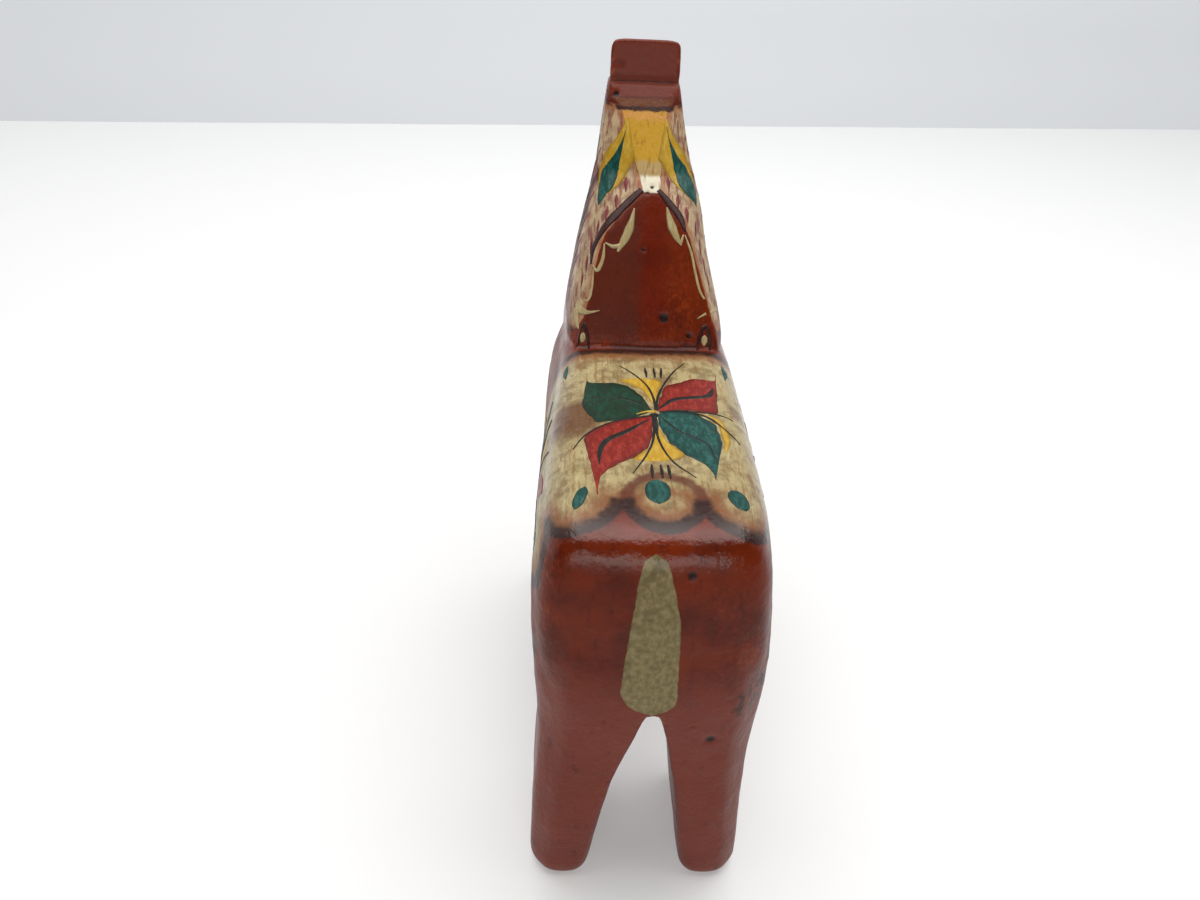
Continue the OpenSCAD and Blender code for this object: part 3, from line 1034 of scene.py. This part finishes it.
def saddle_flower():
    """Four petals with dark ribs, yellow between them, and thin black rays."""
    for film, lift, edge, other in (
            (yellow, 1, ((-1.3, 66), (1.8, 74.9), (5.7, 78.6), (9.2, 82), (2, 83.4)),
             ((-2.3, 66), (-3.6, 73.5), (-5.3, 81.4), (2, 83.4))),
            (yellow, 1, ((-0.9, 53), (0.2, 44.3), (2.8, 39), (7.4, 33.8), (0.4, 32.8)),
             ((-1.7, 53), (-3.8, 44.6), (-9, 37), (-5.2, 33.8), (0.4, 32.8))),
            (green, 1.5, ((-0.4, 62), (2.6, 71.4), (6.9, 77.2), (12.7, 79.7), (19.4, 79.4),
                          (20.8, 82)),
             ((-0.2, 61), (4.6, 58), (11.8, 55.2), (17.4, 53.8), (19.7, 57.7), (22.2, 64),
              (21.9, 72.4), (20.8, 82))),
            (red, 1.5, ((-2.4, 62), (-5.9, 76.2), (-12.9, 82.1), (-19, 83.7), (-24.2, 83),
                        (-25.6, 88)),
             ((-2.9, 61.6), (-10.9, 62.8), (-18.6, 61.6), (-22.6, 62.2), (-24, 73.3),
              (-25.6, 88))),
            (red, 1.5, ((0, 58), (5.8, 56.6), (13, 54), (18.4, 50.2), (21.3, 46.6), (21.3, 39),
                        (20, 29.8), (18.3, 16.6)),
             ((-0.4, 56.8), (0.6, 46.5), (2.5, 39.8), (7, 35), (12.8, 30.2), (16.9, 25.4),
              (17.9, 20.8), (18.3, 16.6))),
            (teal, 1.5, ((-2.8, 60), (-8, 61.6), (-13.4, 60.8), (-18.5, 56.7), (-21.2, 48.8),
                         (-20.6, 40.3), (-18, 29.5), (-16.7, 24.2)),
             ((-2.5, 59), (-2.3, 52.9), (-4.2, 45.3), (-8.2, 38.1), (-14.2, 31.8),
              (-16.2, 27.8), (-16.7, 24.2)))):
        film.leaf(back(*edge), back(*other), lift)
    yellow.stroke(back((-16, 60.4), (-22, 56), (-23.2, 46), (-21.8, 38)), [0.5, 2.2, 2.6, 0.5])
    for widths, *rib in (
            ([0.5, 1.2, 1.3, 0.9, 0.4], (-0.6, 62), (1.6, 64.6), (6.2, 68), (12.4, 69.5),
             (20.6, 69)),
            ([0.6, 2.4, 2.8, 2.8, 0.5], (-3, 63), (-8.7, 69.2), (-14.6, 70.8), (-20.5, 72.2),
             (-23.3, 78)),
            ([0.6, 2.2, 3, 2.6, 0.5], (0.4, 56.4), (8.3, 48.8), (14.9, 43.2), (17.2, 37),
             (17.5, 30.4)),
            ([0.5, 1.3, 1.4, 1.1, 0.4], (-3.4, 57.6), (-8.3, 49.6), (-13.3, 45.6), (-17, 41.6),
             (-17.9, 34.4))):
        black.stroke(back(*rib), widths, 2.1)
    for ray in (((-1.9, 62), (-1.7, 70), (0, 78.2), (4, 86), (8.8, 92)),
                ((-2.2, 62), (-3.4, 71), (-6.6, 80.6), (-10.4, 88.6), (-14.8, 95)),
                ((-1, 57), (0.2, 45), (3, 36), (7.6, 26.6)),
                ((-1.4, 57), (-1.4, 45), (-4.6, 33.4), (-11, 25)),
                ((-3, 61), (-10, 62), (-20, 60.8), (-28, 58.2)),
                ((-12, 61.8), (-19, 58), (-24.1, 50.4), (-28.3, 44.8)),
                ((0, 58.6), (12, 54.4), (20.6, 47.4), (25.6, 39))):
        black.stroke(back(*ray), [1.0, 0.9, 0.7, 0.6, 0.3], 2.5)
    for start, end, width, ticks in ((84, 91, 1.0, ((-0.4, 0.2), (-3.4, 0.1), (-5.4, -0.7))),
                                     (31, 24.4, 1.1, ((1.8, 0.2), (-0.9, -0.2), (-3.1, -0.3)))):
        for x, sway in ticks:
            black.stroke(back((x, start), (x + sway, end)), [0.5, width, 0.4], 2.2)
    yellow.stroke(back((4.8, 59.2), (1.2, 61.2), (-1.8, 61.4)), [0.4, 1.5, 1.8], 2.0)
    black.disc((-1.3, 59, TOP), (1, 0.2, 0), 3.4, 2.6)
    black.stroke(back((-1, 59), (-1.1, 53), (-1.2, 46)), [2, 1.8, 0.5], 2.2)


def saddle_dots():
    """Teal dots in the lobes of the cloth, and a dash by each end of the stop cut."""
    teal.disc((23.4, 15.4, 154.9), (-0.34, 0.94, 0), 9.8, 3.6)
    teal.disc((0.9, 18.3, TOP), (0, 1, 0), 11, 7.6)
    teal.disc((-22.4, 15.5, 154.9), (-0.4, -0.9, 0), 9, 6)
    for side in (1, -1):
        teal.stroke([(side * 29, 97, 153), (side * 29.6, 92.5, 152.7), (side * 28.9, 87, 153.1)],
                    [0.8, 2.6, 2, 0.6])
        for f, z in ((20, 134), (20, 112), (40, 108), (61, 108), (82, 108)):
            teal.disc((side * 37, f, z), (0, 1, 0.4), 6.4, 5)


def flank_flower(side):
    """The sides carry a flower like the one on the back."""
    def at(*pairs):
        return [(side * 37.4, f, z) for f, z in pairs]
    yellow.stroke(at((58, 130), (58, 138), (58, 147)), [1, 7, 8, 1])
    yellow.stroke(at((58, 128), (58, 120), (58, 113)), [1, 6, 7, 1])
    for film, width, *petal in (
            (green, 6, (58, 130), (66, 133), (75, 139), (84, 146)),
            (red, 6, (58, 130), (50, 133), (41, 139), (31, 145)),
            (red, 5, (58, 128), (67, 124), (77, 120), (89, 119)),
            (teal, 5, (58, 128), (49, 124), (39, 121), (27, 122))):
        film.stroke(at(*petal), [0.6, 6, 8, width, 0.8], 1.5)
    for rib in (((58, 130), (68, 135), (79, 142)), ((58, 130), (48, 135), (37, 141)),
                ((58, 128), (69, 123.5), (82, 120)), ((58, 128), (47, 123.5), (34, 122))):
        black.stroke(at(*rib), [0.5, 1.8, 1.6, 0.4], 2.1)
    for end in ((48, 149), (68, 149), (49, 112), (67, 112), (95, 131), (22, 133)):
        mid = (58 + (end[0] - 58) * 0.5, 129 + (end[1] - 129) * 0.55)
        black.stroke(at((58, 129), mid, end), [0.7, 0.8, 0.4], 2.5)
    yellow.disc((side * 37.4, 58, 129), (0, 1, 0), 4, 4)


def crest_bands():
    """Dark bands from the crest point down both corners of the neck, and the cream commas."""
    dark.stroke([(1, 142.6, 203.9), (6.5, 139.6, 199.4), (12.4, 136, 194.2), (17, 133.6, 189),
                 (19.8, 131.4, 184), (20.6, 127.6, 179.8)], [2.4, 3.4, 3.8, 3.8, 3.0, 1.2], 1.5)
    dark.stroke([(-5.4, 142.6, 203.8), (-9.5, 139.6, 199.8), (-13.4, 137, 195.8),
                 (-15.8, 132.8, 191.2)], [1.8, 3.2, 3.4, 0.8], 1.5)
    for widths, *comma in (
            ([0.5, 2.0, 3.4, 3.0, 0.8], (3.7, 137.6, 198.2), (4.9, 134, 193.4), (6.7, 131, 189.3),
             (9.8, 127.4, 184.8)),
            ([1.6, 1.6, 0.4], (8.4, 129, 186.9), (11.4, 128.6, 186.2), (14.5, 129.5, 187.4)),
            ([0.5, 1.3, 1.6, 0.5], (14.8, 129.4, 187), (15.3, 125.9, 182.4), (17.4, 123.3, 178.8),
             (20, 126.2, 180.1)),
            ([0.4, 1.1, 1.3, 0.4], (19.8, 124.6, 179), (19.8, 120.2, 174), (21.6, 117.3, 169.8),
             (24, 119.4, 169.2)),
            ([2.6, 3.4, 1.4, 0.3], (26.3, 122, 166.8), (24.9, 117.4, 165.8), (20.6, 114.6, 165.6),
             (16, 114.7, 166.4)),
            ([3.6, 3.0, 0.6], (26.6, 121, 165), (26.2, 116.6, 162), (25.4, 112.6, 160)),
            ([0.5, 2.2, 3.2, 2.4, 0.7], (-8.6, 138.2, 198.6), (-10.4, 134, 193.6),
             (-12.7, 130.9, 189.4), (-14.5, 129.3, 187.3)),
            ([1.4, 0.5], (-14, 129.6, 187.8), (-15.1, 131.9, 190.5)),
            ([0.4, 1.0, 1.0, 1.0, 0.6], (-15.7, 131.8, 190.4), (-18.4, 127.6, 184.2),
             (-19.9, 123.6, 178.6), (-22, 119.6, 172.6), (-25.4, 119.6, 166.4)),
            ([2.2, 1.5, 0.3], (-28, 124, 163.6), (-25.2, 117.6, 165.2), (-21, 113.8, 164.5))):
        white.stroke(comma, widths, 1.8)


def withers_arch(side, mid):
    """A small dark arch over the withers, with a cream dab in it."""
    dark.stroke([(side * (mid - 2.6), 106.6, 155.8), (side * (mid - 1.8), 110.6, 159),
                 (side * mid, 112.7, 162), (side * (mid + 2), 111, 158.4),
                 (side * (mid + 2.4), 107.4, 155.2)], [0.9, 1.3, 1.5, 1.3, 0.9], 1.4)
    white.disc((side * mid, 109.4, 157.6), (0, 0.6, 1), 4, 2.4)


def neck_side(side, in_x):
    """Teal leaf with a yellow border beside the crest, and the hair strokes below it."""
    def edge(*keys):
        return [(side * x + in_x, f, z) for x, f, z in keys]
    tip, end = (6.7, 161, 222.6), (17.8, 146, 196.2)
    yellow.leaf(edge((6.4, 163, 225), (4.4, 155.7, 216.8), (3.6, 151.7, 212), (6.6, 150.6, 207.8),
                     (10, 147.6, 203.6), end),
                edge((6.6, 163, 225), (9.2, 161, 219.4), (14.6, 160.6, 212), (17.8, 156, 204.4),
                     end))
    teal.leaf(edge(tip, (8.3, 156.4, 214.8), (9.4, 153.2, 208.4), (12, 147.9, 202.6), end),
              edge(tip, (8.3, 158.6, 218.2), (11.4, 157.6, 212.6), (15.8, 156.8, 207),
                   (18.4, 150.4, 199.4), end), 1.6)
    for ends in (
            ((6.6, 149.6, 206.2), (6.9, 143.9, 202.2)), ((10.3, 144.8, 200.9), (10.4, 139, 197)),
            ((13.6, 142, 197), (14, 136.6, 192.6)), ((17.2, 140, 192.4), (17.8, 134.4, 187.6)),
            ((20, 136.6, 187.2), (20.6, 131.6, 182.2)), ((22, 132.6, 181.6), (22.6, 127.4, 176.4)),
            ((24, 129, 176), (24.6, 124.4, 171.2))):
        pa, pb = (np.array((side * x + 1.2 * in_x, f, z), float) for x, f, z in ends)
        mauve.stroke([pa, (pa + pb) / 2, pb], [0.5, 1.7, 1.1, 0.3], 1.3)
    for n in range(7):          # long hairs on the side of the neck
        f, w, z = 162 - 4.2 * n, 17 + 1.45 * n, 214 - 7.2 * n
        for film, widths, *keys in (
                (mauve, [0.4, 1.5, 1.2, 0.3], (0, 0, 0), (2, 3.6, -6), (3.4, 4.4, -13)),
                (teal, [0.4, 2.4, 1.8, 0.4], (0.4, 8, 3), (2, 10, -3), (3, 10, -9))):
            film.stroke([(side * (w + dx), f + df, z + dz) for dx, df, dz in keys], widths, 1.3)


def bridle(side):
    """Noseband, cheek strap, brow strap, eye and nostril."""
    def at(*keys):
        return [(side * x, f, z) for x, f, z in keys]
    yellow.stroke(at((0, 226, 203), (5, 225.5, 202), (10, 222, 190), (9, 218, 176), (0, 217, 169)),
                  [2.2] * 5)
    yellow.stroke(at((12.8, 196, 236), (13, 196, 222), (13, 199, 205), (11, 206, 190),
                     (9.6, 216, 184)), [2, 2.4, 2.4, 2.2, 1.6])
    yellow.stroke(at((13, 199, 205), (13, 192, 196), (12, 184, 184)), [2, 2.2, 1.2])
    black.stroke(at((13, 204, 216), (13, 208, 217.6), (12.4, 212.6, 215.4)), [0.5, 1.8, 0.5], 1.4)
    white.disc((side * 13, 208.6, 213.6), (0, 1, 0), 6.4, 4.6)
    black.disc((side * 13.2, 208.8, 213.6), (0, 1, 0), 3.2, 3.2)
    black.stroke(at((9, 233, 180.6), (9, 228, 179.6), (9.6, 222, 181.4)), [0.5, 1.2, 0.4], 1.4)


def collar(side):
    """Breast collar round the chest, with teal dabs under it and red ones over it."""
    keys = ((37, 108, 118), (37, 126, 117), (36, 146, 118), (30, 160, 120), (16, 168, 121),
            (0, 169, 121))
    yellow.stroke([(side * x, f, z) for x, f, z in keys], [3.4] * 6)
    for n in range(7):
        a = n / 6
        x, f = 37 - 26 * a ** 3, 112 + 54 * a ** 0.8
        teal.disc((side * x, f, 110.5), (0, 0, 1), 6, 3.6)
        red.disc((side * x, f, 125.5), (0, 0, 1), 5, 2.6)


saddle_flower()
saddle_dots()
crest_bands()
for side, mid in ((1, 22.5), (-1, 24)):
    withers_arch(side, mid)
for side, in_x in ((1, 0.0), (-1, -1.9)):
    neck_side(side, in_x)
for side in (1, -1):
    bridle(side)
    collar(side)
for side in (1, -1):
    flank_flower(side)
for film in (teal, green, red, mauve, yellow, white, dark, black):
    film.build()

boards = {}
horse = horse_paint()
for label, name in NAMES.items():
    obj, used = board(label, name)
    paint_masks(obj, used)
    obj.data.materials.append(horse)
    boards[name] = obj
    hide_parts(name)
    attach(obj, "root")


# ---- table, light and camera -------------------------------------------------------------

def flat_material(name, colour, rough, glow=0):
    m = bpy.data.materials.new(name)
    m.use_nodes = True
    n = m.node_tree.nodes["Principled BSDF"]
    n.inputs["Base Color"].default_value = (*colour, 1)
    n.inputs["Roughness"].default_value = rough
    n.inputs["Emission Color"].default_value = (*colour, 1)
    n.inputs["Emission Strength"].default_value = glow
    return m


birch = flat_material("birch", srgb(205, 178, 132)[:3], 0.6)
for name, obj in frame["nodes"].items():
    if name.startswith("dowel"):
        obj.data.materials.clear()
        obj.data.materials.append(birch)


def sheet(name, corners, order, colour, rough, glow):
    """A flat four-cornered sheet that gives off a little light of its own."""
    mesh = bpy.data.meshes.new(name)
    mesh.from_pydata(corners, [], [order])
    mesh.materials.append(flat_material(name, colour, rough, glow))
    o = bpy.data.objects.new(name, mesh)
    bpy.context.scene.collection.objects.link(o)
    return o


floor = sheet("floor", [(-6, -1.80, 0), (6, -0.27, 0), (6, 6, 0), (-6, 6, 0)], (0, 1, 2, 3),
              (0.60, 0.60, 0.597), 0.4, 0.44)
wall = sheet("wall", [(-40, -2.5, -2), (40, -2.5, -2), (40, -2.5, 12), (-40, -2.5, 12)],
             (0, 3, 2, 1), (0.80, 0.82, 0.85), 0.9, 0.62)


def area_light(name, at, toward, size, power, colour):
    data = bpy.data.lights.new(name, "AREA")
    data.shape = "RECTANGLE"
    data.size, data.size_y = size
    data.energy = power
    data.color = colour
    o = bpy.data.objects.new(name, data)
    o.location = at
    o.rotation_mode = "QUATERNION"
    o.rotation_quaternion = (Vector(toward) - Vector(at)).to_track_quat("-Z", "Y")
    bpy.context.scene.collection.objects.link(o)
    return o


def room_light(horizon, above, backdrop):
    """A dim room, brighter at the level of the windows; seen directly it is plain."""
    room = bpy.data.worlds.new("room")
    room.use_nodes = True
    tree = room.node_tree
    sky = tree.nodes["Background"]
    up = tree.nodes.new("ShaderNodeSeparateXYZ")
    tree.links.new(tree.nodes.new("ShaderNodeTexCoord").outputs["Generated"], up.inputs[0])
    power = tree.nodes.new("ShaderNodeMapRange")
    tree.links.new(up.outputs["Z"], power.inputs["Value"])
    power.inputs["From Max"].default_value = 0.45
    power.inputs["To Min"].default_value = horizon
    power.inputs["To Max"].default_value = above
    tree.links.new(power.outputs[0], sky.inputs["Strength"])
    plain = tree.nodes.new("ShaderNodeBackground")
    plain.inputs["Color"].default_value = (*backdrop, 1)
    pick = tree.nodes.new("ShaderNodeMixShader")
    tree.links.new(tree.nodes.new("ShaderNodeLightPath").outputs["Is Camera Ray"], pick.inputs[0])
    tree.links.new(sky.outputs[0], pick.inputs[1])
    tree.links.new(plain.outputs[0], pick.inputs[2])
    tree.links.new(pick.outputs[0], tree.nodes["World Output"].inputs[0])
    bpy.context.scene.world = room


WARM = (1, 0.995, 0.98)
area_light("ceiling", (-0.1, -0.3, 1.4), (-0.1, -0.3, 0), (2.0, 1.2), 28, WARM)
area_light("window", (0.2, 1.9, 0.75), (0, 0, 0.1), (2.4, 0.8), 17, WARM)
room_light(1.2, 0.1, (0.66, 0.68, 0.70))
bpy.context.scene.view_settings.view_transform = "Standard"

ROLL = 2.83            # degrees
camera_data = bpy.data.cameras.new("camera")
camera_data.lens = 24.25
camera_data.clip_start = 0.01
camera = bpy.data.objects.new("camera", camera_data)
camera.location = (0.0273, 0.2767, 0.2958)
aim = Vector((-0.0410, -0.8227, -0.5670))
camera.rotation_mode = "QUATERNION"
turn = Quaternion((0, 0, 1), math.radians(ROLL))
camera.rotation_quaternion = aim.to_track_quat("-Z", "Y") @ turn
bpy.context.scene.collection.objects.link(camera)
bpy.context.scene.camera = camera
